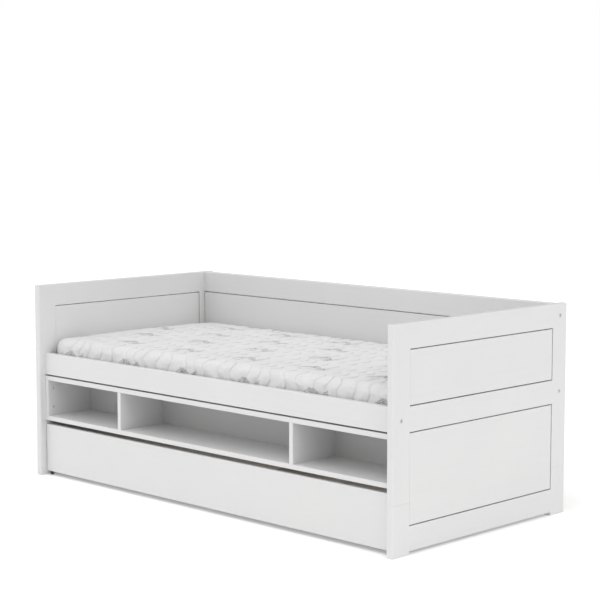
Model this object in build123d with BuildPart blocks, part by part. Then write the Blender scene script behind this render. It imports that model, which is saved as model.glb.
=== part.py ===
from build123d import *
from math import cos, radians, sin
import os

os.makedirs("parts", exist_ok=True)

# Storage daybed in millimetres. X runs along the bed, the open front faces -Y and Z is up.
# The origin lies on the floor, under the middle of the bed.

# Overall sizes
bed_length = 2070.0
bed_width = 1030.0
bed_height = 833.0

# Boards of the frame
frame_thickness = 30.0
rail_thickness = 30.0
member_width = 92.0
corner_round = 8.0
edge_round = 3.0
joint_round = 1.2
panel_round = 1.0

# Heights in the end frames
foot_height = 190.0
floor_clearance = 12.5
middle_rail_base = 443.5

# Shadow gaps round the panels, and the pegs that cross them
panel_gap = 4.0
panel_front_gap = 1.2
panel_setback = 0.5
peg_radius = 4.0
peg_depth = 12.0
end_peg_offset = 257.0
back_peg_count = 4
back_peg_inset = 70.0

# Dowels of the frame
dowel_radius = 5.0
dowel_depth = 28.0
post_dowel_depth = 18.0
dowel_spread = 50.0
foot_dowel_spread = 44.0
hole_play = 0.1
hole_rest = 1.0

# Bolts through the posts and barrel nuts in the long rails
bolt_radius = 4.0
bolt_length = 78.0
bolt_head_radius = 8.5
bolt_head_height = 4.0
bolt_socket_width = 5.0
bolt_socket_depth = 2.5
bolt_hole_play = 0.5
nut_radius = 7.0
nut_length = 22.0
nut_setback = 38.0
nut_cover = 4.0

# Slatted base
ledger_height = 26.0
ledger_depth = 28.0
ledger_end_gap = 3.0
slat_count = 14
slat_width = 70.0
slat_thickness = 17.0
slat_end_gap = 1.0
slat_margin = 45.0
tape_width = 32.0
tape_thickness = 1.0
tape_offset = 300.0

# Mattress
mattress_thickness = 114.0
mattress_crown = 5.0
mattress_end_play = 5.0
mattress_side_play = 4.0
mattress_top_radius = 40.0
mattress_bottom_radius = 18.0
mattress_bulge = 2.5
mattress_waist = 3.0
pad_count = 26
channel_depth = 2.4
channel_shoulder = 0.5
channel_half_width = 9.0

# Shelf unit
shelf_board = 19.0
shelf_depth = 230.0
shelf_bay_height = 157.0
shelf_gap = 6.0
shelf_fit = 0.5
shelf_back_thickness = 6.0
divider_offset = 503.0
shelf_dowel_radius = 4.0
shelf_dowel_depth = 13.0
shelf_dowel_inset = 40.0
upright_round = 1.0

# Drawer
drawer_front_thickness = 19.0
drawer_board = 18.0
drawer_depth = 900.0
drawer_side_height = 150.0
drawer_beam_height = 90.0
drawer_base = 18.5
drawer_top_gap = 18.0
drawer_end_gap = 3.0
drawer_side_inset = 18.0
drawer_bottom_thickness = 8.0
drawer_bottom_height = 23.5
groove_depth = 6.0
groove_play = 0.2
drawer_dowel_radius = 4.0
drawer_dowel_depth = 20.0
drawer_dowel_cover = 6.0
drawer_dowel_spread = 70.0
drawer_dowel_rise = 14.0
beam_dowel_spread = 30.0
drawer_round = 2.0

# Rollers under the drawer
wheel_radius = 8.0
wheel_width = 8.0
wheel_edge_round = 1.0
axle_radius = 2.0
running_play = 0.05
wheel_side_play = 0.3
bracket_wall = 1.4
bracket_plate = 1.5
bracket_length = 17.0
bracket_ear_radius = 5.0
bracket_seat_play = 0.02
stem_radius = 3.0
stem_length = 20.0
beam_roller_inset = 165.0
front_roller_inset = 14.0
front_roller_end_inset = 4.0

# Screws and pins
screw_radius = 2.0
screw_head_radius = 4.0
screw_head_depth = 2.4
screw_length = 44.0
screw_recess_width = 1.0
screw_recess_depth = 1.4
ledger_screw_count = 6
ledger_screw_margin = 120.0
shelf_screw_length = 38.0
shelf_screw_inset = 28.0
shelf_screw_spread = 80.0
pin_radius = 1.0
pin_head_radius = 2.4
pin_head_height = 0.6
pin_length = 14.0
pins_per_board = 7
pin_margin = 60.0

FROM_BASE = (Align.CENTER, Align.CENTER, Align.MIN)
SIDES = {"left": -1, "right": 1}
ROWS = {"front": -1, "back": 1}
UP = (0, 0, 1)
DOWN = (0, 0, -1)
TO_FRONT = (0, -1, 0)
TO_BACK = (0, 1, 0)

# Planes that the pieces share
half_length = bed_length / 2
half_width = bed_width / 2
inner_end = half_length - frame_thickness
post_inner = half_width - member_width
end_mid = half_length - frame_thickness / 2
rail_line = half_width - member_width / 2
rail_inner = rail_line - rail_thickness / 2
rail_front = -rail_line - rail_thickness / 2
top_rail_base = bed_height - member_width
middle_rail_top = middle_rail_base + member_width
end_rail_bases = {"top": top_rail_base, "middle": middle_rail_base, "bottom": floor_clearance}
panel_levels = {
    "upper": (middle_rail_top + panel_gap, top_rail_base - panel_gap),
    "lower": (floor_clearance + member_width + panel_gap, middle_rail_base - panel_gap),
}


def save(piece, label):
    """Label a finished piece and write it to its own file."""
    piece.part.label = label
    export_step(piece.part, f"parts/{label}.step")


def block(x, y, z):
    """Fill the space between three pairs of coordinates in the part being built."""
    centre = [(ends[0] + ends[1]) / 2 for ends in (x, y, z)]
    with Locations(tuple(centre)):
        Box(x[1] - x[0], y[1] - y[0], z[1] - z[0])


def cut_block(x, y, z):
    """Remove the space between three pairs of coordinates from the part being built."""
    centre = [(ends[0] + ends[1]) / 2 for ends in (x, y, z)]
    with Locations(tuple(centre)):
        Box(x[1] - x[0], y[1] - y[0], z[1] - z[0], mode=Mode.SUBTRACT)


def drill(spots, direction, radius, depth):
    """Bore a round blind hole from each spot along the direction."""
    with Locations(*[Plane(origin=spot, z_dir=direction) for spot in spots]):
        Cylinder(radius + hole_play, depth, align=FROM_BASE, mode=Mode.SUBTRACT)


def sunk_screw_holes(spots, direction, depth):
    """Screw holes with a conical seat for a flush head."""
    drill(spots, direction, screw_radius, depth)
    with Locations(*[Plane(origin=spot, z_dir=direction) for spot in spots]):
        Cone(
            screw_head_radius + hole_play,
            screw_radius + hole_play,
            screw_head_depth + hole_play,
            align=FROM_BASE,
            mode=Mode.SUBTRACT,
        )


def pegs(joints, radius):
    """Round pegs. Each joint gives a start, a direction, and a length."""
    for start, direction, length in joints:
        with Locations(Plane(origin=start, z_dir=direction)):
            Cylinder(radius, length, align=FROM_BASE)


def screws(places, length):
    """Countersunk screws with a cross recess. Each place gives the head's centre and the direction."""
    for place, direction in places:
        with Locations(Plane(origin=place, z_dir=direction)):
            Cylinder(screw_radius, length, align=FROM_BASE)
            Cone(screw_head_radius, screw_radius, screw_head_depth, align=FROM_BASE)
            recess_length = screw_head_radius
            for size in ((recess_length, screw_recess_width), (screw_recess_width, recess_length)):
                Box(size[0], size[1], screw_recess_depth, align=FROM_BASE, mode=Mode.SUBTRACT)


def both(value, spread):
    """The two values that lie half the spread either side of a value."""
    return (value - spread / 2, value + spread / 2)


def spaced(first, last, count):
    """Values at even steps from the first to the last."""
    return [first + (last - first) * step / (count - 1) for step in range(count)]


def pair(sign, near, far):
    """Coordinates on one side of the middle plane, the lower one first."""
    return tuple(sorted((sign * near, sign * far)))


# Joints of the end frames
end_dowel_levels = {
    name: both(base + member_width / 2, dowel_spread) for name, base in end_rail_bases.items()
}
foot_dowel_lines = both(rail_line, foot_dowel_spread)

# Joints of the long rails: front rail and lower back rail at one height, top rail at the back only
long_rails = {
    "front_rail": (-1, middle_rail_base),
    "back_lower_rail": (1, middle_rail_base),
    "back_top_rail": (1, top_rail_base),
}
back_pegs = spaced(-inner_end + back_peg_inset, inner_end - back_peg_inset, back_peg_count)
ledger_top = middle_rail_base + ledger_height
ledger_end = inner_end - ledger_end_gap
ledger_screw_reach = ledger_end - ledger_screw_margin
ledger_screw_lines = spaced(-ledger_screw_reach, ledger_screw_reach, ledger_screw_count)
ledger_screw_level = middle_rail_base + ledger_height / 2
ledger_inner = rail_inner - ledger_depth

# Levels of the shelf unit
shelf_top = middle_rail_base - shelf_gap
bay_top = shelf_top - shelf_board
bay_base = bay_top - shelf_bay_height
shelf_base = bay_base - shelf_board
shelf_front = rail_front
shelf_back = shelf_front + shelf_depth
shelf_end = inner_end - shelf_fit
shelf_uprights = {
    "shelf_left_side": -(shelf_end - shelf_board / 2),
    "shelf_left_divider": -divider_offset,
    "shelf_right_divider": divider_offset,
    "shelf_right_side": shelf_end - shelf_board / 2,
}
shelf_dowel_lines = (shelf_front + shelf_dowel_inset, shelf_back - shelf_dowel_inset)
pin_lines = spaced(-shelf_end + pin_margin, shelf_end - pin_margin, pins_per_board)
pin_levels = ((bay_top + shelf_top) / 2, (shelf_base + bay_base) / 2)
shelf_screw_spots = [
    (line, level)
    for line in (shelf_front + shelf_screw_inset, shelf_back - shelf_screw_inset)
    for level in both((bay_base + bay_top) / 2, shelf_screw_spread)
]

# Planes of the drawer
drawer_front = rail_front
drawer_inside = drawer_front + drawer_front_thickness
drawer_rear = drawer_front + drawer_depth
drawer_back_face = drawer_rear - drawer_board
drawer_side_out = inner_end - drawer_side_inset
drawer_side_in = drawer_side_out - drawer_board
drawer_side_mid = drawer_side_out - drawer_board / 2
beam_half = drawer_board / 2
bottom_base = drawer_base + drawer_bottom_height
bottom_top = bottom_base + drawer_bottom_thickness
groove_levels = (bottom_base - groove_play, bottom_top + groove_play)
drawer_top = shelf_base - drawer_top_gap
drawer_side_top = drawer_base + drawer_side_height
drawer_beam_top = drawer_base + drawer_beam_height
corner_dowel_levels = both(drawer_base + drawer_side_height / 2 + drawer_dowel_rise, drawer_dowel_spread)
beam_dowel_levels = both((bottom_top + drawer_beam_top) / 2, beam_dowel_spread)
front_dowel_depth = drawer_front_thickness - drawer_dowel_cover
board_dowel_depth = drawer_board - drawer_dowel_cover

# Places of the rollers, by name
front_roller_line = drawer_front + front_roller_inset
front_roller_reach = drawer_side_out - front_roller_end_inset
back_roller_line = drawer_rear - drawer_board / 2
roller_spots = {
    "front_left": (-front_roller_reach, front_roller_line),
    "front_right": (front_roller_reach, front_roller_line),
    "middle_front": (0.0, drawer_inside + beam_roller_inset),
    "middle_back": (0.0, back_roller_line),
    "back_left": (-drawer_side_mid, back_roller_line),
    "back_right": (drawer_side_mid, back_roller_line),
}
axle_level = wheel_radius
ear_inner = wheel_width / 2 + wheel_side_play
ear_outer = ear_inner + bracket_wall


# Posts and the feet under them
for side, x_sign in SIDES.items():
    for row, y_sign in ROWS.items():
        post_x = pair(x_sign, inner_end, half_length)
        post_y = pair(y_sign, post_inner, half_width)
        outward = (x_sign, 0, 0)
        inner_x = x_sign * inner_end
        inner_y = y_sign * post_inner

        with BuildPart() as post:
            block(post_x, post_y, (foot_height, bed_height))
            outer_edges = post.edges().filter_by(Axis.Z).group_by(Axis.Y, reverse=y_sign < 0)[-1]
            fillet(outer_edges, corner_round)
            top_edges = post.faces().sort_by(Axis.Z)[-1].edges().sort_by(Axis.Y, reverse=y_sign < 0)
            fillet(top_edges[1:], edge_round)
            low_edges = post.faces().sort_by(Axis.Z)[0].edges().sort_by(Axis.Y, reverse=y_sign < 0)
            fillet(low_edges[1:], joint_round)
            for level_name in ("top", "middle"):
                spots = [(x_sign * end_mid, inner_y, level) for level in end_dowel_levels[level_name]]
                drill(spots, (0, y_sign, 0), dowel_radius, dowel_depth + hole_rest)
            spots = [(x_sign * end_mid, y_sign * line, foot_height) for line in foot_dowel_lines]
            drill(spots, UP, dowel_radius, dowel_depth + hole_rest)
            for rail_row, base in long_rails.values():
                if rail_row != y_sign:
                    continue
                rail_y = y_sign * rail_line
                rail_mid = base + member_width / 2
                spots = [(inner_x, rail_y, level) for level in both(rail_mid, dowel_spread)]
                drill(spots, outward, dowel_radius, post_dowel_depth + hole_rest)
                drill([(inner_x, rail_y, rail_mid)], outward, bolt_radius + bolt_hole_play, frame_thickness)
                spots = [(x_sign * half_length, rail_y, rail_mid)]
                drill(spots, (-x_sign, 0, 0), bolt_head_radius, bolt_head_height)
            if row == "front":
                spots = [(inner_x, line, level) for line, level in shelf_screw_spots if line < -post_inner]
                drill(spots, outward, screw_radius, shelf_screw_length - shelf_board + hole_rest)
        save(post, f"post_{row}_{side}")

        with BuildPart() as foot:
            block(post_x, post_y, (0, foot_height))
            outer_edges = foot.edges().filter_by(Axis.Z).group_by(Axis.Y, reverse=y_sign < 0)[-1]
            fillet(outer_edges, corner_round)
            top_edges = foot.faces().sort_by(Axis.Z)[-1].edges().sort_by(Axis.Y, reverse=y_sign < 0)
            fillet(top_edges[1:], joint_round)
            low_edges = foot.faces().sort_by(Axis.Z)[0].edges().sort_by(Axis.Y, reverse=y_sign < 0)
            fillet(low_edges[1:], joint_round)
            spots = [(x_sign * end_mid, inner_y, level) for level in end_dowel_levels["bottom"]]
            drill(spots, (0, y_sign, 0), dowel_radius, dowel_depth + hole_rest)
            spots = [(x_sign * end_mid, y_sign * line, foot_height) for line in foot_dowel_lines]
            drill(spots, DOWN, dowel_radius, dowel_depth + hole_rest)
        save(foot, f"foot_{row}_{side}")


# Rails and panels of the end frames
for side, x_sign in SIDES.items():
    post_x = pair(x_sign, inner_end, half_length)
    panel_x = pair(x_sign, inner_end + panel_setback, half_length - panel_setback)
    panel_y = (-post_inner + panel_front_gap, post_inner - panel_gap)
    middle_x = x_sign * end_mid

    for name, base in end_rail_bases.items():
        with BuildPart() as end_rail:
            block(post_x, (-post_inner, post_inner), (base, base + member_width))
            long_edges = end_rail.edges().filter_by(Axis.Y).group_by(Axis.Z)
            fillet(long_edges[-1], edge_round if name == "top" else panel_round)
            long_edges = end_rail.edges().filter_by(Axis.Y).group_by(Axis.Z)
            fillet(long_edges[0], edge_round if name == "bottom" else panel_round)
            for y_sign in ROWS.values():
                spots = [(middle_x, y_sign * post_inner, level) for level in end_dowel_levels[name]]
                drill(spots, (0, -y_sign, 0), dowel_radius, dowel_depth + hole_rest)
            peg_lines = (-end_peg_offset, end_peg_offset)
            if name != "top":
                spots = [(middle_x, line, base + member_width) for line in peg_lines]
                drill(spots, DOWN, peg_radius, peg_depth + hole_rest)
            if name != "bottom":
                spots = [(middle_x, line, base) for line in peg_lines]
                drill(spots, UP, peg_radius, peg_depth + hole_rest)
        save(end_rail, f"{side}_{name}_rail")

    for name, levels in panel_levels.items():
        with BuildPart() as end_panel:
            block(panel_x, panel_y, levels)
            fillet(end_panel.edges().filter_by(Axis.X, reverse=True), panel_round)
            for level, direction in ((levels[0], UP), (levels[1], DOWN)):
                spots = [(middle_x, line, level) for line in (-end_peg_offset, end_peg_offset)]
                drill(spots, direction, peg_radius, peg_depth + hole_rest)
            if name == "lower":
                spots = [
                    (x_sign * (inner_end + panel_setback), line, level)
                    for line, level in shelf_screw_spots
                    if line > -post_inner
                ]
                reach = shelf_screw_length - shelf_board + hole_rest
                drill(spots, (x_sign, 0, 0), screw_radius, reach)
        save(end_panel, f"{side}_{name}_panel")


# Long rails, drilled at their ends for dowels and bolts, with the barrel nuts entering from the rear
for name, (y_sign, base) in long_rails.items():
    rail_y = y_sign * rail_line
    rail_mid = base + member_width / 2
    rail_rear = rail_y + rail_thickness / 2
    with BuildPart() as long_rail:
        block((-inner_end, inner_end), both(rail_y, rail_thickness), (base, base + member_width))
        fillet(long_rail.edges().filter_by(Axis.X), edge_round if name != "back_lower_rail" else panel_round)
        for x_sign in SIDES.values():
            spots = [(x_sign * inner_end, rail_y, level) for level in both(rail_mid, dowel_spread)]
            drill(spots, (-x_sign, 0, 0), dowel_radius, dowel_depth + hole_rest)
            reach = bolt_length - frame_thickness + bolt_head_height
            spots = [(x_sign * inner_end, rail_y, rail_mid)]
            drill(spots, (-x_sign, 0, 0), bolt_radius + bolt_hole_play, reach)
            spots = [(x_sign * (inner_end - nut_setback), rail_rear, rail_mid)]
            drill(spots, TO_FRONT, nut_radius, rail_thickness - nut_cover)
        if name != "back_top_rail":
            spots = [(line, y_sign * rail_inner, ledger_screw_level) for line in ledger_screw_lines]
            drill(spots, (0, y_sign, 0), screw_radius, screw_length - ledger_depth + hole_rest)
        if name == "back_lower_rail":
            spots = [(line, rail_y, base + member_width) for line in back_pegs]
            drill(spots, DOWN, peg_radius, peg_depth + hole_rest)
        if name == "back_top_rail":
            spots = [(line, rail_y, base) for line in back_pegs]
            drill(spots, UP, peg_radius, peg_depth + hole_rest)
    save(long_rail, name)

back_levels = panel_levels["upper"]
with BuildPart() as back_panel:
    back_panel_y = both(rail_line, rail_thickness - 2 * panel_setback)
    block((-inner_end + panel_gap, inner_end - panel_gap), back_panel_y, back_levels)
    fillet(back_panel.edges().filter_by(Axis.Y, reverse=True), panel_round)
    for level, direction in ((back_levels[0], UP), (back_levels[1], DOWN)):
        drill([(line, rail_line, level) for line in back_pegs], direction, peg_radius, peg_depth + hole_rest)
save(back_panel, "back_panel")


# Pegs that hold the panels in their rails, and the dowels of the frame joints
peg_length = panel_gap + 2 * peg_depth
with BuildPart() as panel_pegs:
    joints = []
    for levels in panel_levels.values():
        for start_level in (levels[0] - panel_gap - peg_depth, levels[1] - peg_depth):
            for x_sign in SIDES.values():
                for line in (-end_peg_offset, end_peg_offset):
                    joints.append(((x_sign * end_mid, line, start_level), UP, peg_length))
    for start_level in (back_levels[0] - panel_gap - peg_depth, back_levels[1] - peg_depth):
        for line in back_pegs:
            joints.append(((line, rail_line, start_level), UP, peg_length))
    pegs(joints, peg_radius)
save(panel_pegs, "panel_pegs")

with BuildPart() as frame_dowels:
    joints = []
    for x_sign in SIDES.values():
        for levels in end_dowel_levels.values():
            for level in levels:
                for y_sign in ROWS.values():
                    start = (x_sign * end_mid, y_sign * (post_inner - dowel_depth), level)
                    joints.append((start, (0, y_sign, 0), 2 * dowel_depth))
        for rail_row, base in long_rails.values():
            for level in both(base + member_width / 2, dowel_spread):
                start = (x_sign * (inner_end - dowel_depth), rail_row * rail_line, level)
                joints.append((start, (x_sign, 0, 0), dowel_depth + post_dowel_depth))
    pegs(joints, dowel_radius)
save(frame_dowels, "frame_dowels")

with BuildPart() as foot_dowels:
    joints = []
    for x_sign in SIDES.values():
        for y_sign in ROWS.values():
            for line in foot_dowel_lines:
                start = (x_sign * end_mid, y_sign * line, foot_height - dowel_depth)
                joints.append((start, UP, 2 * dowel_depth))
    pegs(joints, dowel_radius)
save(foot_dowels, "foot_dowels")


# Bolts with a hexagon socket, their heads flush in the posts, and the barrel nuts they reach
bolt_spots = [
    (x_sign, y_sign * rail_line, base + member_width / 2)
    for x_sign in SIDES.values()
    for y_sign, base in long_rails.values()
]
with BuildPart() as rail_bolts:
    for x_sign, line, level in bolt_spots:
        head_plane = Plane(origin=(x_sign * half_length, line, level), x_dir=TO_BACK, z_dir=(-x_sign, 0, 0))
        with BuildSketch(head_plane):
            Circle(bolt_head_radius)
        extrude(amount=bolt_head_height)
        with BuildSketch(head_plane.offset(bolt_head_height)):
            Circle(bolt_radius)
        extrude(amount=bolt_length - bolt_head_height)
        with BuildSketch(head_plane):
            RegularPolygon(bolt_socket_width / 2, 6, major_radius=False)
        extrude(amount=bolt_socket_depth, mode=Mode.SUBTRACT)
save(rail_bolts, "rail_bolts")

with BuildPart() as barrel_nuts:
    for x_sign, line, level in bolt_spots:
        nut_x = x_sign * (inner_end - nut_setback)
        nut_end = line - rail_thickness / 2 + nut_cover
        with Locations(Plane(origin=(nut_x, nut_end, level), z_dir=TO_BACK)):
            Cylinder(nut_radius, nut_length, align=FROM_BASE)
        with Locations(Plane(origin=(nut_x, line, level), z_dir=(x_sign, 0, 0))):
            Cylinder(bolt_radius + hole_play, 2 * nut_radius, mode=Mode.SUBTRACT)
save(barrel_nuts, "barrel_nuts")


# Ledgers screwed inside the front rail and the lower back rail
for row, y_sign in ROWS.items():
    with BuildPart() as ledger:
        ledger_y = pair(y_sign, ledger_inner, rail_inner)
        block((-ledger_end, ledger_end), ledger_y, (middle_rail_base, ledger_top))
        fillet(ledger.edges().filter_by(Axis.X), panel_round)
        spots = [(line, y_sign * ledger_inner, ledger_screw_level) for line in ledger_screw_lines]
        sunk_screw_holes(spots, (0, y_sign, 0), ledger_depth)
    save(ledger, f"{row}_ledger")


with BuildPart() as ledger_screws:
    screws(
        [
            ((line, y_sign * ledger_inner, ledger_screw_level), (0, y_sign, 0))
            for y_sign in ROWS.values()
            for line in ledger_screw_lines
        ],
        screw_length,
    )
save(ledger_screws, "ledger_screws")


# Slats on the ledgers, spaced by two tapes under them
slat_reach = rail_inner - slat_end_gap
slat_lines = spaced(-inner_end + slat_margin, inner_end - slat_margin, slat_count)
slat_top = ledger_top + slat_thickness
with BuildPart() as slats:
    for line in slat_lines:
        block(both(line, slat_width), (-slat_reach, slat_reach), (ledger_top, slat_top))
    fillet(slats.edges().filter_by(Axis.Y), edge_round)
save(slats, "slats")

with BuildPart() as slat_tapes:
    tape_reach = slat_lines[-1] + slat_width / 2 - edge_round
    for line in (-tape_offset, tape_offset):
        block((-tape_reach, tape_reach), both(line, tape_width), (ledger_top - tape_thickness, ledger_top))
save(slat_tapes, "slat_tapes")


# Mattress: a crowned, quilted block. Its cross-section is lofted from end to end. The section is drawn in
# at the sewn channels and near the rounded ends, and its sides draw in towards the middle of the bed.
mattress_half_length = inner_end - mattress_end_play
mattress_half_width = rail_inner - mattress_side_play
mattress_base = slat_top
mattress_top = mattress_base + mattress_thickness
pad_length = 2 * (mattress_half_length - mattress_top_radius) / pad_count
end_angles = (15, 35, 55, 75)


def mattress_sections():
    """Place along the bed, drawn-in amount and channel depth of every section, from left to right."""
    ends = []
    for angle in end_angles:
        distance = mattress_top_radius * (1 - cos(radians(angle)))
        drawn_in = mattress_top_radius * (1 - sin(radians(angle)))
        ends.append((distance - mattress_half_length, drawn_in, 0.0))
    pads = []
    for index in range(pad_count + 1):
        line = mattress_top_radius - mattress_half_length + index * pad_length
        if index > 0:
            pads.append((line - channel_half_width, 0.0, channel_shoulder))
        pads.append((line, 0.0, channel_depth))
        if index < pad_count:
            pads.append((line + channel_half_width, 0.0, channel_shoulder))
            pads.append((line + pad_length / 2, 0.0, 0.0))
    far_ends = [(-line, drawn_in, channel) for line, drawn_in, channel in reversed(ends)]
    return ends + pads + far_ends


def turn_middle(centre, radius, angle):
    """Point halfway round a rounded corner of the section."""
    return (centre[0] + radius * cos(radians(angle)), centre[1] + radius * sin(radians(angle)))


with BuildPart() as mattress:
    for line, drawn_in, channel in mattress_sections():
        waist = mattress_waist * cos(line / mattress_half_length * radians(90))
        softness = 1 - drawn_in / (2 * mattress_top_radius)
        low_radius = mattress_bottom_radius * softness
        high_radius = mattress_top_radius * softness
        side = mattress_half_width - mattress_bulge - drawn_in - channel - waist
        base = mattress_base + drawn_in * mattress_bottom_radius / mattress_top_radius
        top = mattress_top - drawn_in - channel
        low_turn = base + low_radius
        high_turn = top - high_radius
        low_flat = side - low_radius
        high_flat = side - high_radius
        side_level = (low_turn + high_turn) / 2
        with BuildSketch(Plane.YZ.offset(line)):
            with BuildLine():
                Line((-low_flat, base), (low_flat, base))
                corner = turn_middle((low_flat, low_turn), low_radius, -45)
                ThreePointArc((low_flat, base), corner, (side, low_turn))
                ThreePointArc((side, low_turn), (side + mattress_bulge, side_level), (side, high_turn))
                corner = turn_middle((high_flat, high_turn), high_radius, 45)
                ThreePointArc((side, high_turn), corner, (high_flat, top))
                ThreePointArc((high_flat, top), (0, top + mattress_crown), (-high_flat, top))
                corner = turn_middle((-high_flat, high_turn), high_radius, 135)
                ThreePointArc((-high_flat, top), corner, (-side, high_turn))
                ThreePointArc((-side, high_turn), (-side - mattress_bulge, side_level), (-side, low_turn))
                corner = turn_middle((-low_flat, low_turn), low_radius, 225)
                ThreePointArc((-side, low_turn), corner, (-low_flat, base))
            make_face()
    loft(ruled=True)
save(mattress, "mattress")


# Shelf unit: two long boards, four uprights dowelled between them and a thin back panel
for name, levels, bay_face, into_board, pin_level in (
    ("shelf_top_board", (bay_top, shelf_top), bay_top, UP, pin_levels[0]),
    ("shelf_bottom_board", (shelf_base, bay_base), bay_base, DOWN, pin_levels[1]),
):
    with BuildPart() as long_board:
        block((-shelf_end, shelf_end), (shelf_front, shelf_back), levels)
        fillet(long_board.edges().filter_by(Axis.X).group_by(Axis.Y)[0], upright_round)
        for line in shelf_uprights.values():
            spots = [(line, row_line, bay_face) for row_line in shelf_dowel_lines]
            drill(spots, into_board, shelf_dowel_radius, shelf_dowel_depth + hole_rest)
        spots = [(line, shelf_back, pin_level) for line in pin_lines]
        drill(spots, TO_FRONT, pin_radius, pin_length - shelf_back_thickness + hole_rest)
    save(long_board, name)

for name, line in shelf_uprights.items():
    with BuildPart() as upright:
        block(both(line, shelf_board), (shelf_front, shelf_back), (bay_base, bay_top))
        fillet(upright.edges().filter_by(Axis.Z).group_by(Axis.Y)[0], upright_round)
        for level, direction in ((bay_base, UP), (bay_top, DOWN)):
            spots = [(line, row_line, level) for row_line in shelf_dowel_lines]
            drill(spots, direction, shelf_dowel_radius, shelf_dowel_depth + hole_rest)
        if name.endswith("side"):
            x_sign = 1 if line > 0 else -1
            inner_face = line - x_sign * shelf_board / 2
            spots = [(inner_face, row_line, level) for row_line, level in shelf_screw_spots]
            sunk_screw_holes(spots, (x_sign, 0, 0), shelf_board)
    save(upright, name)

with BuildPart() as shelf_back_panel:
    block((-shelf_end, shelf_end), (shelf_back, shelf_back + shelf_back_thickness), (shelf_base, shelf_top))
    spots = [(line, shelf_back, level) for line in pin_lines for level in pin_levels]
    drill(spots, TO_BACK, pin_radius, shelf_back_thickness)
save(shelf_back_panel, "shelf_back_panel")

with BuildPart() as shelf_back_pins:
    for line in pin_lines:
        for level in pin_levels:
            head_line = shelf_back + shelf_back_thickness
            with Locations(Plane(origin=(line, head_line, level), z_dir=TO_FRONT)):
                Cylinder(pin_radius, pin_length, align=FROM_BASE)
            with Locations(Plane(origin=(line, head_line, level), z_dir=TO_BACK)):
                Cylinder(pin_head_radius, pin_head_height, align=FROM_BASE)
save(shelf_back_pins, "shelf_back_pins")

with BuildPart() as shelf_dowels:
    pegs(
        [
            ((line, row_line, level - shelf_dowel_depth), UP, 2 * shelf_dowel_depth)
            for line in shelf_uprights.values()
            for row_line in shelf_dowel_lines
            for level in (bay_base, bay_top)
        ],
        shelf_dowel_radius,
    )
save(shelf_dowels, "shelf_dowels")

with BuildPart() as shelf_screws:
    screws(
        [
            ((x_sign * (shelf_end - shelf_board), line, level), (x_sign, 0, 0))
            for x_sign in SIDES.values()
            for line, level in shelf_screw_spots
        ],
        shelf_screw_length,
    )
save(shelf_screws, "shelf_screws")


# Drawer: a wide front board, two sides, a back and a middle beam, grooved for two bottom panels
def stem_holes(names):
    """Holes in a board's lower edge for the stems of the rollers under it."""
    spots = [(*roller_spots[name], drawer_base) for name in names]
    drill(spots, UP, stem_radius, stem_length + hole_rest)


corner_lines = (-drawer_side_mid, drawer_side_mid)
beam_groove = beam_half - groove_depth
side_groove = drawer_side_in + groove_depth

with BuildPart() as drawer_front_board:
    front_reach = inner_end - drawer_end_gap
    block((-front_reach, front_reach), (drawer_front, drawer_inside), (drawer_base, drawer_top))
    fillet(drawer_front_board.faces().sort_by(Axis.Y)[0].edges(), drawer_round)
    for x_sign in SIDES.values():
        groove_x = pair(x_sign, beam_groove, side_groove)
        cut_block(groove_x, (drawer_inside - groove_depth, drawer_inside), groove_levels)
    spots = [(line, drawer_inside, level) for line in corner_lines for level in corner_dowel_levels]
    spots += [(0, drawer_inside, level) for level in beam_dowel_levels]
    drill(spots, TO_FRONT, drawer_dowel_radius, front_dowel_depth)
    stem_holes(("front_left", "front_right"))
save(drawer_front_board, "drawer_front")

for side, x_sign in SIDES.items():
    with BuildPart() as drawer_side:
        side_x = pair(x_sign, drawer_side_in, drawer_side_out)
        block(side_x, (drawer_inside, drawer_rear), (drawer_base, drawer_side_top))
        fillet(drawer_side.edges().filter_by(Axis.Y).group_by(Axis.Z)[-1], drawer_round)
        groove_y = (drawer_inside, drawer_back_face + groove_depth)
        cut_block(pair(x_sign, drawer_side_in, side_groove), groove_y, groove_levels)
        spots = [(x_sign * drawer_side_mid, drawer_inside, level) for level in corner_dowel_levels]
        drill(spots, TO_BACK, drawer_dowel_radius, drawer_dowel_depth + hole_rest)
        spots = [(x_sign * drawer_side_in, back_roller_line, level) for level in corner_dowel_levels]
        drill(spots, (x_sign, 0, 0), drawer_dowel_radius, board_dowel_depth)
        stem_holes((f"back_{side}",))
    save(drawer_side, f"drawer_{side}_side")

with BuildPart() as drawer_back:
    block((-drawer_side_in, drawer_side_in), (drawer_back_face, drawer_rear), (drawer_base, drawer_side_top))
    fillet(drawer_back.edges().filter_by(Axis.X).group_by(Axis.Z)[-1], drawer_round)
    for x_sign in SIDES.values():
        groove_x = pair(x_sign, beam_groove, drawer_side_in)
        cut_block(groove_x, (drawer_back_face, drawer_back_face + groove_depth), groove_levels)
        spots = [(x_sign * drawer_side_in, back_roller_line, level) for level in corner_dowel_levels]
        drill(spots, (-x_sign, 0, 0), drawer_dowel_radius, drawer_dowel_depth + hole_rest)
    spots = [(0, drawer_back_face, level) for level in beam_dowel_levels]
    drill(spots, TO_BACK, drawer_dowel_radius, board_dowel_depth)
    stem_holes(("middle_back",))
save(drawer_back, "drawer_back")

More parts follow.
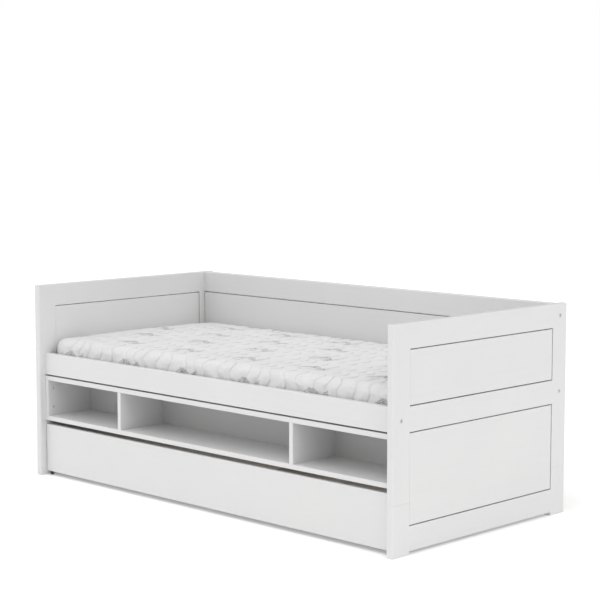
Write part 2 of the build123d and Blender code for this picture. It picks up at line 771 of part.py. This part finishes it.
with BuildPart() as drawer_middle_beam:
    beam_y = (drawer_inside, drawer_back_face)
    block((-beam_half, beam_half), beam_y, (drawer_base, drawer_beam_top))
    fillet(drawer_middle_beam.edges().filter_by(Axis.Y).group_by(Axis.Z)[-1], drawer_round)
    for x_sign in SIDES.values():
        cut_block(pair(x_sign, beam_groove, beam_half), beam_y, groove_levels)
    for face_line, direction in ((drawer_inside, TO_BACK), (drawer_back_face, TO_FRONT)):
        spots = [(0, face_line, level) for level in beam_dowel_levels]
        drill(spots, direction, drawer_dowel_radius, drawer_dowel_depth + hole_rest)
    stem_holes(("middle_front",))
save(drawer_middle_beam, "drawer_middle_beam")

for side, x_sign in SIDES.items():
    with BuildPart() as drawer_bottom:
        bottom_x = pair(x_sign, beam_groove + groove_play, side_groove - groove_play)
        bottom_y = (
            drawer_inside - groove_depth + groove_play,
            drawer_back_face + groove_depth - groove_play,
        )
        block(bottom_x, bottom_y, (bottom_base, bottom_top))
    save(drawer_bottom, f"drawer_{side}_bottom")

with BuildPart() as drawer_dowels:
    joints = []
    for level in corner_dowel_levels:
        for x_sign in SIDES.values():
            start = (x_sign * drawer_side_mid, drawer_inside + drawer_dowel_depth, level)
            joints.append((start, TO_FRONT, drawer_dowel_depth + front_dowel_depth - hole_rest))
            start = (x_sign * (drawer_side_in - drawer_dowel_depth), back_roller_line, level)
            joints.append((start, (x_sign, 0, 0), drawer_dowel_depth + board_dowel_depth - hole_rest))
    for level in beam_dowel_levels:
        start = (0, drawer_inside + drawer_dowel_depth, level)
        joints.append((start, TO_FRONT, drawer_dowel_depth + front_dowel_depth - hole_rest))
        start = (0, drawer_back_face - drawer_dowel_depth, level)
        joints.append((start, TO_BACK, drawer_dowel_depth + board_dowel_depth - hole_rest))
    pegs(joints, drawer_dowel_radius)
save(drawer_dowels, "drawer_dowels")


# Rollers: a two-eared bracket with a stem in the board above, an axle through the ears and a wheel on it
with BuildPart() as roller_brackets:
    for x, y in roller_spots.values():
        plate_levels = (drawer_base - bracket_plate, drawer_base)
        block((x - ear_outer, x + ear_outer), both(y, bracket_length), plate_levels)
        with Locations((x, y, drawer_base)):
            Cylinder(stem_radius, stem_length, align=FROM_BASE)
        for ear_start in (x - ear_outer, x + ear_inner):
            with BuildSketch(Plane.YZ.offset(ear_start)):
                with Locations((y, axle_level)):
                    Circle(bracket_ear_radius)
                with Locations((y, (axle_level + plate_levels[0]) / 2)):
                    Rectangle(2 * bracket_ear_radius, plate_levels[0] - axle_level)
                with Locations((y, axle_level)):
                    Circle(axle_radius + bracket_seat_play, mode=Mode.SUBTRACT)
            extrude(amount=bracket_wall)
save(roller_brackets, "roller_brackets")

with BuildPart() as roller_axles:
    joints = [((x - ear_outer, y, axle_level), (1, 0, 0), 2 * ear_outer) for x, y in roller_spots.values()]
    pegs(joints, axle_radius)
save(roller_axles, "roller_axles")

for name, (x, y) in roller_spots.items():
    with BuildPart() as wheel:
        with BuildSketch(Plane.YZ.offset(x - wheel_width / 2)):
            with Locations((y, axle_level)):
                Circle(wheel_radius)
                Circle(axle_radius + running_play, mode=Mode.SUBTRACT)
        extrude(amount=wheel_width)
        rims = wheel.edges().filter_by(GeomType.CIRCLE).group_by(SortBy.RADIUS)[-1]
        fillet(rims, wheel_edge_round)
    save(wheel, f"wheel_{name}")
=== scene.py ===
import math

import bpy
import numpy as np
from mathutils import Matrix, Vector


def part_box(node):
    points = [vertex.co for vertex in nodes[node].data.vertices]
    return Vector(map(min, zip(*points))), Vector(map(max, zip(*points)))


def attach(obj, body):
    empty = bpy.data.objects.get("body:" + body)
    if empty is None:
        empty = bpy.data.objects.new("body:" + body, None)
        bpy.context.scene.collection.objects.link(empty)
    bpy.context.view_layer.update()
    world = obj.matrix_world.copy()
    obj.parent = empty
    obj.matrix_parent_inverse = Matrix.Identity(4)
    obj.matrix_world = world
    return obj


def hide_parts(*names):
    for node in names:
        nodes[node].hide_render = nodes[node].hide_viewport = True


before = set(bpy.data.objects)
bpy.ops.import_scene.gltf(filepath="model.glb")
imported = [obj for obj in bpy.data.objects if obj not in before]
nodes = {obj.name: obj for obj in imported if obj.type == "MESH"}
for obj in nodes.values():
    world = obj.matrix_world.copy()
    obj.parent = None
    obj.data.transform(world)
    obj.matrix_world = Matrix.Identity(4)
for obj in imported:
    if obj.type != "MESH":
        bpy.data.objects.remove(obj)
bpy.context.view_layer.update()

scene = bpy.context.scene
scene.view_settings.view_transform = "Standard"

# Camera

camera_data = bpy.data.cameras.new("camera")
camera_data.lens = 99.84
camera_data.sensor_width = 36.0
camera_data.clip_end = 200.0
camera = bpy.data.objects.new("camera", camera_data)
camera.location = (4.8178, -4.8321, 1.5206)
camera.rotation_euler = (math.radians(90 - 5.98), 0, math.radians(44.46))
scene.collection.objects.link(camera)
scene.camera = camera


# Node helpers

class Graph:
    """A material's node tree with short calls for the nodes that these surfaces use."""

    def __init__(self, name):
        self.material = bpy.data.materials.new(name)
        self.material.use_nodes = True
        self.tree = self.material.node_tree
        self.shader = self.tree.nodes["Principled BSDF"]
        self.place = None

    def put(self, value, socket):
        """Link a socket or set a plain value."""
        if isinstance(value, bpy.types.NodeSocket):
            self.tree.links.new(value, socket)
        else:
            socket.default_value = value

    def add(self, kind, inputs=(), **settings):
        node = self.tree.nodes.new(kind)
        for key, value in settings.items():
            setattr(node, key, value)
        for key, value in dict(inputs).items():
            self.put(value, node.inputs[key])
        return node

    def math(self, operation, a, b=0.0, c=0.0, clamp=False):
        node = self.add("ShaderNodeMath", operation=operation, use_clamp=clamp)
        for value, socket in zip((a, b, c), node.inputs):
            self.put(value, socket)
        return node.outputs[0]

    def coordinates(self, scale=(1, 1, 1)):
        """The piece's own place in metres, stretched along the axes."""
        if self.place is None:
            self.place = self.add("ShaderNodeTexCoord").outputs["Object"]
        node = self.add("ShaderNodeMapping", {"Vector": self.place, "Scale": scale})
        return node.outputs[0]

    def noise(self, scale, detail=2.0, stretch=(1, 1, 1), roughness=0.5, distortion=0.0):
        inputs = {
            "Vector": self.coordinates(stretch),
            "Scale": scale,
            "Detail": detail,
            "Roughness": roughness,
            "Distortion": distortion,
        }
        return self.add("ShaderNodeTexNoise", inputs).outputs["Fac"]

    def span(self, value, low, high, new_low=0.0, new_high=1.0, smooth=False):
        inputs = {
            "Value": value,
            "From Min": low,
            "From Max": high,
            "To Min": new_low,
            "To Max": new_high,
        }
        kind = "SMOOTHSTEP" if smooth else "LINEAR"
        node = self.add("ShaderNodeMapRange", inputs, interpolation_type=kind, clamp=True)
        return node.outputs[0]

    def blend(self, factor, first, second):
        node = self.add("ShaderNodeMix", data_type="RGBA")
        self.put(factor, node.inputs[0])
        self.put(first, node.inputs[6])
        self.put(second, node.inputs[7])
        return node.outputs[2]

    def bump(self, height, distance, strength=1.0, after=None):
        inputs = {"Height": height, "Distance": distance, "Strength": strength}
        node = self.add("ShaderNodeBump", inputs)
        if after is not None:
            self.put(after, node.inputs["Normal"])
        return node.outputs[0]

    def finish(self, colour, roughness, normal=None, **fixed):
        self.put(colour, self.shader.inputs["Base Color"])
        self.put(roughness, self.shader.inputs["Roughness"])
        if normal is not None:
            self.put(normal, self.shader.inputs["Normal"])
        for key, value in fixed.items():
            self.shader.inputs[key.replace("_", " ")].default_value = value
        return self.material


def grey(value, warmth=0.0):
    return (value + warmth, value, value - warmth, 1.0)


# Materials

ACROSS = 1.0
ALONG = 0.05
GRAIN = {"x": (ALONG, ACROSS, ACROSS), "y": (ACROSS, ALONG, ACROSS), "z": (ACROSS, ACROSS, ALONG)}
lacquer_tone = 0.65


def lacquer(name, axis, tone, shine):
    """Sprayed white lacquer: cloudy tone, orange peel and the grain faintly raised under the film."""
    g = Graph(name)
    clouds = g.noise(2.3, 3.0)
    flecks = g.noise(70.0, 4.0, GRAIN[axis])
    colour = g.blend(g.span(clouds, 0.3, 0.7), grey(tone - 0.008), grey(tone + 0.008, 0.002))
    colour = g.blend(g.span(flecks, 0.45, 0.75, 0.0, 0.35), colour, grey(tone - 0.02, 0.002))
    roughness = g.span(g.noise(26.0, 4.0), 0.25, 0.75, shine - 0.05, shine + 0.06)
    peel = g.bump(g.noise(620.0, 2.0), 0.00006, 0.5)
    grain = g.bump(g.noise(240.0, 3.0, GRAIN[axis]), 0.00008, 0.5, peel)
    return g.finish(colour, roughness, grain, Coat_Weight=0.12, Coat_Roughness=0.25)


def raw_wood(name, axis, light, dark, ring_scale):
    """Planed wood with growth rings drawn out along one axis and fine pores."""
    g = Graph(name)
    sway = g.noise(3.0, 3.0, GRAIN[axis], distortion=0.6)
    rings = g.math("SINE", g.math("MULTIPLY", sway, ring_scale))
    rings = g.span(rings, -1.0, 1.0, smooth=True)
    pores = g.noise(420.0, 3.0, GRAIN[axis])
    colour = g.blend(rings, light, dark)
    colour = g.blend(g.span(pores, 0.5, 0.8, 0.0, 0.4), colour, [c * 0.75 for c in dark[:3]] + [1.0])
    roughness = g.span(rings, 0.0, 1.0, 0.62, 0.5)
    normal = g.bump(pores, 0.00015, 0.6, g.bump(rings, 0.0001, 0.4))
    return g.finish(colour, roughness, normal)


def fibreboard(name):
    """Thin painted fibreboard: matt, with a very fine tooth."""
    g = Graph(name)
    speck = g.noise(900.0, 3.0)
    colour = g.blend(g.span(speck, 0.35, 0.65), grey(0.51), grey(0.54, 0.002))
    return g.finish(colour, g.span(g.noise(40.0, 3.0), 0.3, 0.7, 0.5, 0.6), g.bump(speck, 0.00008, 0.6))


def steel(name, tone):
    """Zinc-plated steel with faint turning marks and cloudy plating."""
    g = Graph(name)
    clouds = g.noise(160.0, 4.0)
    marks = g.noise(2400.0, 2.0, (0.1, 1, 1))
    colour = g.blend(clouds, grey(tone - 0.06), grey(tone + 0.05))
    roughness = g.span(marks, 0.3, 0.7, 0.24, 0.4)
    return g.finish(colour, roughness, g.bump(marks, 0.00004, 0.5), Metallic=1.0)


def plastic(name, tone, shine):
    """Moulded plastic with a fine spark-eroded texture and a little dust in it."""
    g = Graph(name)
    texture = g.noise(1500.0, 3.0)
    colour = g.blend(g.span(g.noise(90.0, 3.0), 0.4, 0.75), grey(tone), grey(tone + 0.012, 0.001))
    roughness = g.span(texture, 0.3, 0.7, shine - 0.06, shine + 0.06)
    return g.finish(colour, roughness, g.bump(texture, 0.0001, 0.6))


def webbing(name):
    """Woven tape: warp and weft in a plain weave."""
    g = Graph(name)
    pitch = 2 * math.pi / 0.0016
    axes = g.add("ShaderNodeSeparateXYZ", {"Vector": g.coordinates()}).outputs
    warp = g.math("SINE", g.math("MULTIPLY", axes["X"], pitch))
    weft = g.math("SINE", g.math("MULTIPLY", axes["Y"], pitch))
    weave = g.span(g.math("MULTIPLY", warp, weft), -1.0, 1.0)
    colour = g.blend(weave, (0.60, 0.59, 0.55, 1), (0.80, 0.79, 0.75, 1))
    return g.finish(colour, 0.85, g.bump(weave, 0.0003, 0.8), Sheen_Weight=0.2)


lacquers = {axis: lacquer(f"white_lacquer_{axis}", axis, lacquer_tone, 0.36) for axis in GRAIN}
boards = {axis: lacquer(f"white_board_{axis}", axis, lacquer_tone, 0.40) for axis in GRAIN}
finishes = {
    "thin_board": fibreboard("thin_board"),
    "peg": raw_wood("peg", "z", grey(0.72, 0.01), grey(0.62, 0.012), 30.0),
    "beech": raw_wood("beech", "x", (0.72, 0.50, 0.33, 1), (0.60, 0.39, 0.24, 1), 40.0),
    "pine": raw_wood("pine", "y", (0.80, 0.62, 0.40, 1), (0.66, 0.44, 0.24, 1), 55.0),
    "ledger_pine": raw_wood("ledger_pine", "x", (0.80, 0.62, 0.40, 1), (0.66, 0.44, 0.24, 1), 55.0),
    "webbing": webbing("webbing"),
    "bolt_steel": steel("bolt_steel", 0.55),
    "zinc_steel": steel("zinc_steel", 0.62),
    "bracket_plastic": plastic("bracket_plastic", 0.016, 0.5),
    "wheel_plastic": plastic("wheel_plastic", 0.012, 0.42),
}

special = {
    "shelf_back_panel": "thin_board",
    "drawer_left_bottom": "thin_board",
    "drawer_right_bottom": "thin_board",
    "panel_pegs": "peg",
    "frame_dowels": "beech",
    "foot_dowels": "beech",
    "shelf_dowels": "beech",
    "drawer_dowels": "beech",
    "front_ledger": "ledger_pine",
    "back_ledger": "ledger_pine",
    "slats": "pine",
    "slat_tapes": "webbing",
    "rail_bolts": "bolt_steel",
    "barrel_nuts": "zinc_steel",
    "ledger_screws": "zinc_steel",
    "shelf_screws": "zinc_steel",
    "shelf_back_pins": "zinc_steel",
    "roller_axles": "zinc_steel",
    "roller_brackets": "bracket_plastic",
}


def longest_axis(name):
    low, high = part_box(name)
    size = high - low
    return "xyz"[max(range(3), key=lambda i: size[i])]


def finish_of(name):
    if name in special:
        return finishes[special[name]]
    if name.startswith("wheel_"):
        return finishes["wheel_plastic"]
    if name.startswith(("shelf_", "drawer_")):
        return boards[longest_axis(name)]
    return lacquers[longest_axis(name)]


for name, node in nodes.items():
    if name == "mattress":
        continue
    node.data.materials.clear()
    node.data.materials.append(finish_of(name))


# Mattress

low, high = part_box("mattress")
half_length = high.x
half_width = high.y
base = low.z
crown = 0.005
top = high.z - crown
top_radius = 0.040
base_radius = 0.018
widths = (0.098, 0.056, 0.056, 0.084, 0.070)
pad_rise = 0.0064
seam_tuck = 0.0042
soft_shoulder = 0.017
sharp_shoulder = 16
cloth_frames = 14
cloth_play = 0.0022
thread_width = 0.0032
thread_depth = 0.0016
pucker_depth = 0.0008
side_room = 0.003


def section(spacing):
    """The cross-section from under the middle, up one side and over.

    Gives the points (y, z), their outward normals and their distance from the crest along the cloth.
    """
    side_low, side_high = base + base_radius, top - top_radius
    flat_low, flat_high = half_width - base_radius, half_width - top_radius
    points = []
    for y in np.arange(0, flat_low - 0.01, 0.03):
        points.append((y, base))
    for a in np.linspace(-90, 0, 5):
        c, s = math.cos(math.radians(a)), math.sin(math.radians(a))
        points.append((flat_low + base_radius * c, side_low + base_radius * s))
    for t in np.linspace(0, 1, 6)[1:-1]:
        points.append((half_width, side_low + (side_high - side_low) * t))
    for a in np.linspace(0, 90, 8):
        c, s = math.cos(math.radians(a)), math.sin(math.radians(a))
        points.append((flat_high + top_radius * c, side_high + top_radius * s))
    count = int(flat_high / spacing)
    for y in np.linspace(flat_high, 0, count + 1)[1:]:
        points.append((y, top + crown * (1 - (y / flat_high) ** 2)))
    half = np.array(points)
    other = half[::-1][1:-1] * (-1, 1)
    ring = np.vstack((half, other))
    crest = len(half) - 1
    steps = np.linalg.norm(np.diff(np.vstack((ring, ring[:1])), axis=0), axis=1)
    travel = np.concatenate(([0], np.cumsum(steps)[:-1]))
    tangent = np.roll(ring, -1, axis=0) - np.roll(ring, 1, axis=0)
    outward = np.stack((tangent[:, 1], -tangent[:, 0]), 1)
    outward /= np.linalg.norm(outward, axis=1)[:, None]
    return ring, outward, travel[crest] - travel


def seam_lines():
    """Places of the sewn channels along the bed, from end to end."""
    reach = half_length - top_radius
    lines = [-reach]
    index = 0
    while lines[-1] < reach - 0.03:
        lines.append(lines[-1] + widths[index % len(widths)])
        index += 1
    lines = np.array(lines)
    return -reach + (lines + reach) * 2 * reach / (lines[-1] + reach)


def stations():
    """Every ring along the bed: place, how far the section is drawn in, and the nearest channel's index."""
    seams = seam_lines()
    rings = []
    for i in range(len(seams) - 1):
        a, b = seams[i], seams[i + 1]
        width = b - a
        steps = [0.0, 0.0026, 0.0065, 0.013]
        inner = np.linspace(0.013, width - 0.013, max(3, int((width - 0.026) / 0.009) + 1))[1:-1]
        places = steps + list(inner) + [width - s for s in steps[:0:-1]]
        rings += [(a + p, 0.0) for p in places]
    rings.append((seams[-1], 0.0))
    ends = []
    for angle in (78, 66, 54, 42, 30, 18, 8):
        c, s = math.cos(math.radians(angle)), math.sin(math.radians(angle))
        ends.append((half_length - top_radius + top_radius * c, top_radius * (1 - s)))
    return seams, [(-x, d) for x, d in reversed(ends)] + rings + ends


def wave(line_index, travel):
    """Sideways sway of a channel along its own length."""
    phase = 0.9 * line_index
    scallop = 0.0090 * np.sin(2 * math.pi * travel / 0.088 + phase)
    return scallop + 0.004 * np.sin(2 * math.pi * travel / 0.21 + 1.7 * phase)


def build_mattress():
    ring, outward, travel = section(0.0105)
    seams, rings = stations()
    count = len(ring)
    vertices, cover, seam_distance = [], [], []
    middle = (base + top) / 2
    exposed = np.clip((ring[:, 1] - base) / 0.02, 0, 1)
    for x, drawn in rings:
        position = np.interp(x, seams, np.arange(len(seams)))
        lower = int(min(max(math.floor(position), 0), len(seams) - 2))
        share = min(max(position - lower, 0.0), 1.0)
        from_seam = share * (seams[lower + 1] - seams[lower])
        arch = (1 - math.exp(-from_seam / soft_shoulder)) * (1 - share ** sharp_shoulder)
        lift = (pad_rise * arch - seam_tuck) * exposed
        y = (ring[:, 0] + outward[:, 0] * lift) * (half_width - drawn) / half_width
        z = ring[:, 1] + outward[:, 1] * lift
        z = np.where(z > middle, z - drawn, z + drawn * 0.45)
        sway = (1 - share) * wave(lower, travel) + share * wave(lower + 1, travel)
        fade = np.clip((half_length - 0.045 - abs(x)) / 0.12, 0, 1)
        xs = x + sway * fade
        vertices.append(np.stack((xs, y, z), 1))
        nearest = min(abs(x - s) for s in seams)
        seam_distance.append(np.full(count, nearest))
        cover.append(np.stack((xs, travel, np.zeros(count)), 1))
    faces = []
    for r in range(len(rings) - 1):
        for k in range(count):
            n = (k + 1) % count
            faces.append((r * count + k, (r + 1) * count + k, (r + 1) * count + n, r * count + n))
    for r, sign in ((0, -1), (len(rings) - 1, 1)):
        outer = [r * count + k for k in range(count)]
        edge = vertices[r]
        for share in (0.35, 0.7, 0.92):
            target_y = np.clip(edge[:, 1], -half_width + 0.09, half_width - 0.09)
            target = np.stack((edge[:, 0], target_y, np.full(count, middle)), 1)
            new = edge + (target - edge) * share
            new[:, 0] = sign * half_length
            first = sum(len(v) for v in vertices)
            vertices.append(new)
            cover.append(np.stack((new[:, 0] + sign * 0.05 * share, travel, np.zeros(count)), 1))
            seam_distance.append(np.full(count, 0.05))
            inner = [first + k for k in range(count)]
            for k in range(count):
                n = (k + 1) % count
                quad = (outer[k], inner[k], inner[n], outer[n])
                faces.append(quad if sign > 0 else quad[::-1])
            outer = inner
        faces.append(tuple(outer[::-1]) if sign < 0 else tuple(outer))
    mesh = bpy.data.meshes.new("mattress_cover")
    mesh.from_pydata(np.vstack(vertices).tolist(), [], faces)
    mesh.update()
    attribute = mesh.attributes.new("cover", "FLOAT_VECTOR", "POINT")
    attribute.data.foreach_set("vector", np.vstack(cover).astype(np.float32).ravel())
    attribute = mesh.attributes.new("seam", "FLOAT", "POINT")
    attribute.data.foreach_set("value", np.concatenate(seam_distance).astype(np.float32))
    piece = bpy.data.objects.new("mattress_cover", mesh)
    scene.collection.objects.link(piece)
    return piece


def read_points(mesh):
    flat = np.empty(len(mesh.vertices) * 3, np.float32)
    mesh.vertices.foreach_get("co", flat)
    return flat.reshape(-1, 3).astype(float)


def write_points(mesh, points):
    mesh.vertices.foreach_set("co", points.astype(np.float32).ravel())
    mesh.update()


def normals_of(mesh):
    flat = np.empty(len(mesh.vertices) * 3, np.float32)
    mesh.vertices.foreach_get("normal", flat)
    return flat.reshape(-1, 3).astype(float)


def read_attribute(mesh, name, kind):
    size = 3 if kind == "vector" else 1
    flat = np.empty(len(mesh.vertices) * size, np.float32)
    mesh.attributes[name].data.foreach_get(kind, flat)
    return flat.reshape(-1, size).astype(float) if size > 1 else flat.astype(float)


def swell(piece):
    """Loosen the cover between its channels with a cloth simulation, and keep a little of that movement."""
    mesh = piece.data
    rest = read_points(mesh)
    distance = read_attribute(mesh, "seam", "value")
    lying = rest[:, 2] < base + 0.004
    held = piece.vertex_groups.new(name="held")
    stiff = np.where(distance < 0.0005, 1.0, 0.0)
    stiff[lying] = 1.0
    held.add([int(i) for i in np.flatnonzero(stiff > 0.5)], 1.0, "REPLACE")
    cloth = piece.modifiers.new("swell", "CLOTH")
    settings = cloth.settings
    settings.quality = 4
    settings.mass = 0.25
    settings.tension_stiffness = 12.0
    settings.compression_stiffness = 12.0
    settings.shear_stiffness = 6.0
    settings.bending_stiffness = 0.6
    settings.vertex_group_mass = "held"
    settings.shrink_min = -0.04
    settings.use_pressure = True
    settings.uniform_pressure_force = 2.0
    settings.effector_weights.gravity = 0.0
    cloth.collision_settings.use_collision = False
    cloth.point_cache.frame_start = 1
    cloth.point_cache.frame_end = cloth_frames
    for step in range(1, cloth_frames + 1):
        scene.frame_set(step)
    graph = bpy.context.evaluated_depsgraph_get()
    moved = read_points(piece.evaluated_get(graph).data)
    piece.modifiers.remove(cloth)
    scene.frame_set(1)
    piece.vertex_groups.clear()
    change = moved - rest
    length = np.linalg.norm(change, axis=1)
    capped = cloth_play * np.tanh(length / cloth_play)
    change *= (capped / np.maximum(length, 1e-9))[:, None]
    write_points(mesh, rest + change)
    return float(length.max())


def subdivide(piece):
    modifier = piece.modifiers.new("smooth", "SUBSURF")
    modifier.levels = modifier.render_levels = 1
    graph = bpy.context.evaluated_depsgraph_get()
    finer = bpy.data.meshes.new_from_object(piece.evaluated_get(graph), depsgraph=graph)
    piece.modifiers.remove(modifier)
    piece.data = finer


def quilt(piece):
    """Press in the thread lines of the channels and pucker the cloth beside them."""
    mesh = piece.data
    points = read_points(mesh)
    normals = normals_of(mesh)
    cover = read_attribute(mesh, "cover", "vector")
    distance = read_attribute(mesh, "seam", "value")
    exposed = np.clip((points[:, 2] - base) / 0.03, 0, 1)
    ends = np.clip((half_length - 0.02 - np.abs(points[:, 0])) / 0.03, 0, 1)
    channel = np.exp(-((distance / thread_width) ** 2))
    u, v = cover[:, 0], cover[:, 1]
    pucker = np.sin(v * 2 * math.pi / 0.023 + 40 * u) * np.sin(v * 2 * math.pi / 0.061 + 11 * u)
    beside = np.exp(-((distance / 0.016) ** 2)) * (1 - channel)
    lift = -thread_depth * channel + pucker_depth * pucker * beside
    lift += 0.0006 * np.sin(u * 2 * math.pi / 0.37 + 3 * np.sin(v * 7)) * np.sin(v * 2 * math.pi / 0.29)
    points += normals * (lift * exposed * ends)[:, None]
    points[:, 0] = np.clip(points[:, 0], -half_length - side_room, half_length + side_room)
    points[:, 1] = np.clip(points[:, 1], -half_width - side_room, half_width + side_room)
    points[:, 2] = np.maximum(points[:, 2], base)
    write_points(mesh, points)


def cover_cloth(name):
    """White knit with a fine rib, and grey woven motifs: hatched leaves with dotted sprigs."""
    g = Graph(name)
    place = g.add("ShaderNodeAttribute", attribute_name="cover").outputs["Vector"]
    axes = g.add("ShaderNodeSeparateXYZ", {"Vector": place}).outputs
    u, v = axes["X"], axes["Y"]
    pitch_u, pitch_v = 0.36, 0.205
    row = g.math("FLOOR", g.math("DIVIDE", v, pitch_v))
    shift = g.math("MULTIPLY", g.math("FRACT", g.math("MULTIPLY", row, 0.382)), pitch_u)
    moved = g.math("ADD", u, shift)
    lu = g.math("SUBTRACT", g.math("FRACT", g.math("DIVIDE", moved, pitch_u)), 0.5)
    lu = g.math("MULTIPLY", lu, pitch_u)
    lv = g.math("SUBTRACT", g.math("FRACT", g.math("DIVIDE", v, pitch_v)), 0.5)
    lv = g.math("MULTIPLY", lv, pitch_v)

    def turned(angle, centre):
        c, s = math.cos(math.radians(angle)), math.sin(math.radians(angle))
        du = g.math("SUBTRACT", lu, centre[0])
        dv = g.math("SUBTRACT", lv, centre[1])
        along = g.math("ADD", g.math("MULTIPLY", du, c), g.math("MULTIPLY", dv, s))
        across = g.math("SUBTRACT", g.math("MULTIPLY", dv, c), g.math("MULTIPLY", du, s))
        return along, across

    def stripes(value, pitch, share):
        phase = g.math("FRACT", g.math("DIVIDE", value, pitch))
        return g.math("LESS_THAN", phase, share)

    def leaf(angle, centre, length, width):
        along, across = turned(angle, centre)
        shape = g.math("SUBTRACT", 1.0, g.math("POWER", g.math("DIVIDE", along, length), 2.0))
        inside = g.math("LESS_THAN", g.math("ABSOLUTE", across), g.math("MULTIPLY", shape, width))
        first = stripes(g.math("ADD", along, across), 0.0085, 0.5)
        return g.math("MULTIPLY", inside, first)

    mask = None
    for angle, centre, length, width in (
        (38, (-0.042, 0.008), 0.046, 0.016),
        (-35, (0.002, 0.013), 0.042, 0.015),
        (52, (0.046, 0.003), 0.040, 0.014),
    ):
        part = leaf(angle, centre, length, width)
        mask = part if mask is None else g.math("MAXIMUM", mask, part)
    along, across = turned(12, (0.008, -0.030))
    near = g.math("LESS_THAN", g.math("ABSOLUTE", along), 0.072)
    bow = g.math("SUBTRACT", across, g.math("MULTIPLY", g.math("POWER", along, 2.0), 3.0))
    band = g.math("LESS_THAN", g.math("ABSOLUTE", bow), 0.007)
    cell_a = g.math("SUBTRACT", g.math("FRACT", g.math("DIVIDE", along, 0.0095)), 0.5)
    cell_b = g.math("SUBTRACT", g.math("FRACT", g.math("DIVIDE", bow, 0.0075)), 0.5)
    radius = g.math("SQRT", g.math("ADD", g.math("POWER", cell_a, 2.0), g.math("POWER", cell_b, 2.0)))
    dots = g.math("LESS_THAN", radius, 0.3)
    dots = g.math("MULTIPLY", g.math("MULTIPLY", near, band), dots)
    mask = g.math("MAXIMUM", mask, dots)
    fade = g.span(g.noise(55.0, 3.0), 0.35, 0.6, 0.55, 1.0)
    mask = g.math("MULTIPLY", mask, fade)
    cloud = g.span(g.noise(9.0, 3.0), 0.3, 0.7)
    ground = g.blend(cloud, grey(0.60), grey(0.64))
    seam = g.add("ShaderNodeAttribute", attribute_name="seam").outputs["Fac"]
    # Darker along the sewn channels: up to 0.4 of the way to grey 0.40 at the channel, fading out 5 mm from
    # it. This is partly the thread line and partly painted shade in the channel crease.
    ground = g.blend(g.span(seam, 0.0, 0.005, 0.4, 0.0), ground, grey(0.40))
    colour = g.blend(mask, ground, grey(0.21))
    rib = g.math("SINE", g.math("MULTIPLY", v, 2 * math.pi / 0.0022))
    loops = g.math("SINE", g.math("MULTIPLY", u, 2 * math.pi / 0.0030))
    knit = g.span(g.math("ADD", rib, g.math("MULTIPLY", loops, 0.6)), -1.6, 1.6)
    sway = g.math("MULTIPLY", g.math("SINE", g.math("MULTIPLY", v, 2 * math.pi / 0.052)), 0.004)
    ripple = g.math("SINE", g.math("MULTIPLY", g.math("ADD", u, sway), 2 * math.pi / 0.019))
    normal = g.bump(knit, 0.0002, 0.5, g.bump(ripple, 0.0006, 0.5))
    roughness = g.span(knit, 0.0, 1.0, 0.78, 0.9)
    return g.finish(colour, roughness, normal, Sheen_Weight=0.15, Specular_IOR_Level=0.3)


mattress = build_mattress()
print("largest swell in metres", round(swell(mattress), 4))
subdivide(mattress)
quilt(mattress)
mattress.data.shade_smooth()
mattress.data.materials.append(cover_cloth("mattress_cover"))
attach(mattress, "frame")
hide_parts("mattress")


# Floor and light

floor_mesh = bpy.data.meshes.new("floor")
reach = 30.0
corners = [(-reach, -reach, 0), (reach, -reach, 0), (reach, reach, 0), (-reach, reach, 0)]
floor_mesh.from_pydata(corners, [], [(0, 1, 2, 3)])
floor = bpy.data.objects.new("floor", floor_mesh)
scene.collection.objects.link(floor)
g = Graph("floor")
floor_tone = g.blend(g.noise(1.5, 2.0), grey(0.80), grey(0.83))
g.finish(floor_tone, 0.9, Emission_Color=(1, 1, 1, 1), Emission_Strength=0.2)
floor_mesh.materials.append(g.material)

# Broad soft lights all round: the compass angle from +X, the height in degrees, and the strength of each
SOFT_LIGHTS = (
    (0, 90, 0.25),
    (0, 12, 0.72),
    (180, 12, 0.38),
    (225, 12, 0.43),
    (0, 48, 0.92),
    (45, 48, 0.12),
    (180, 48, 0.34),
    (225, 48, 0.90),
    (270, 48, 0.43),
    (315, 48, 0.82),
    (90, 32, 0.60),
)
light_spread = 4.0


def build_world():
    """A sky made of broad soft lights, in front of a plain white backdrop."""
    world = bpy.data.worlds.new("studio")
    world.use_nodes = True
    tree = world.node_tree
    scene.world = world

    def math_node(operation, a, b):
        node = tree.nodes.new("ShaderNodeMath")
        node.operation = operation
        for value, socket in zip((a, b), node.inputs):
            if isinstance(value, bpy.types.NodeSocket):
                tree.links.new(value, socket)
            else:
                socket.default_value = value
        return node.outputs[0]

    direction = tree.nodes.new("ShaderNodeTexCoord").outputs["Generated"]
    total = 0.0
    for compass, height, strength in SOFT_LIGHTS:
        a, e = math.radians(compass), math.radians(height)
        dot = tree.nodes.new("ShaderNodeVectorMath")
        dot.operation = "DOT_PRODUCT"
        tree.links.new(direction, dot.inputs[0])
        dot.inputs[1].default_value = (math.cos(e) * math.cos(a), math.cos(e) * math.sin(a), math.sin(e))
        facing = math_node("MAXIMUM", dot.outputs["Value"], 0.0)
        glow = math_node("MULTIPLY", math_node("POWER", facing, light_spread), strength)
        total = math_node("ADD", total, glow)
    seen = tree.nodes.new("ShaderNodeLightPath").outputs["Is Camera Ray"]
    lit = math_node("MULTIPLY", math_node("SUBTRACT", 1.0, seen), total)
    background = tree.nodes["Background"]
    background.inputs["Color"].default_value = (1, 1, 1, 1)
    tree.links.new(math_node("ADD", seen, lit), background.inputs["Strength"])


build_world()
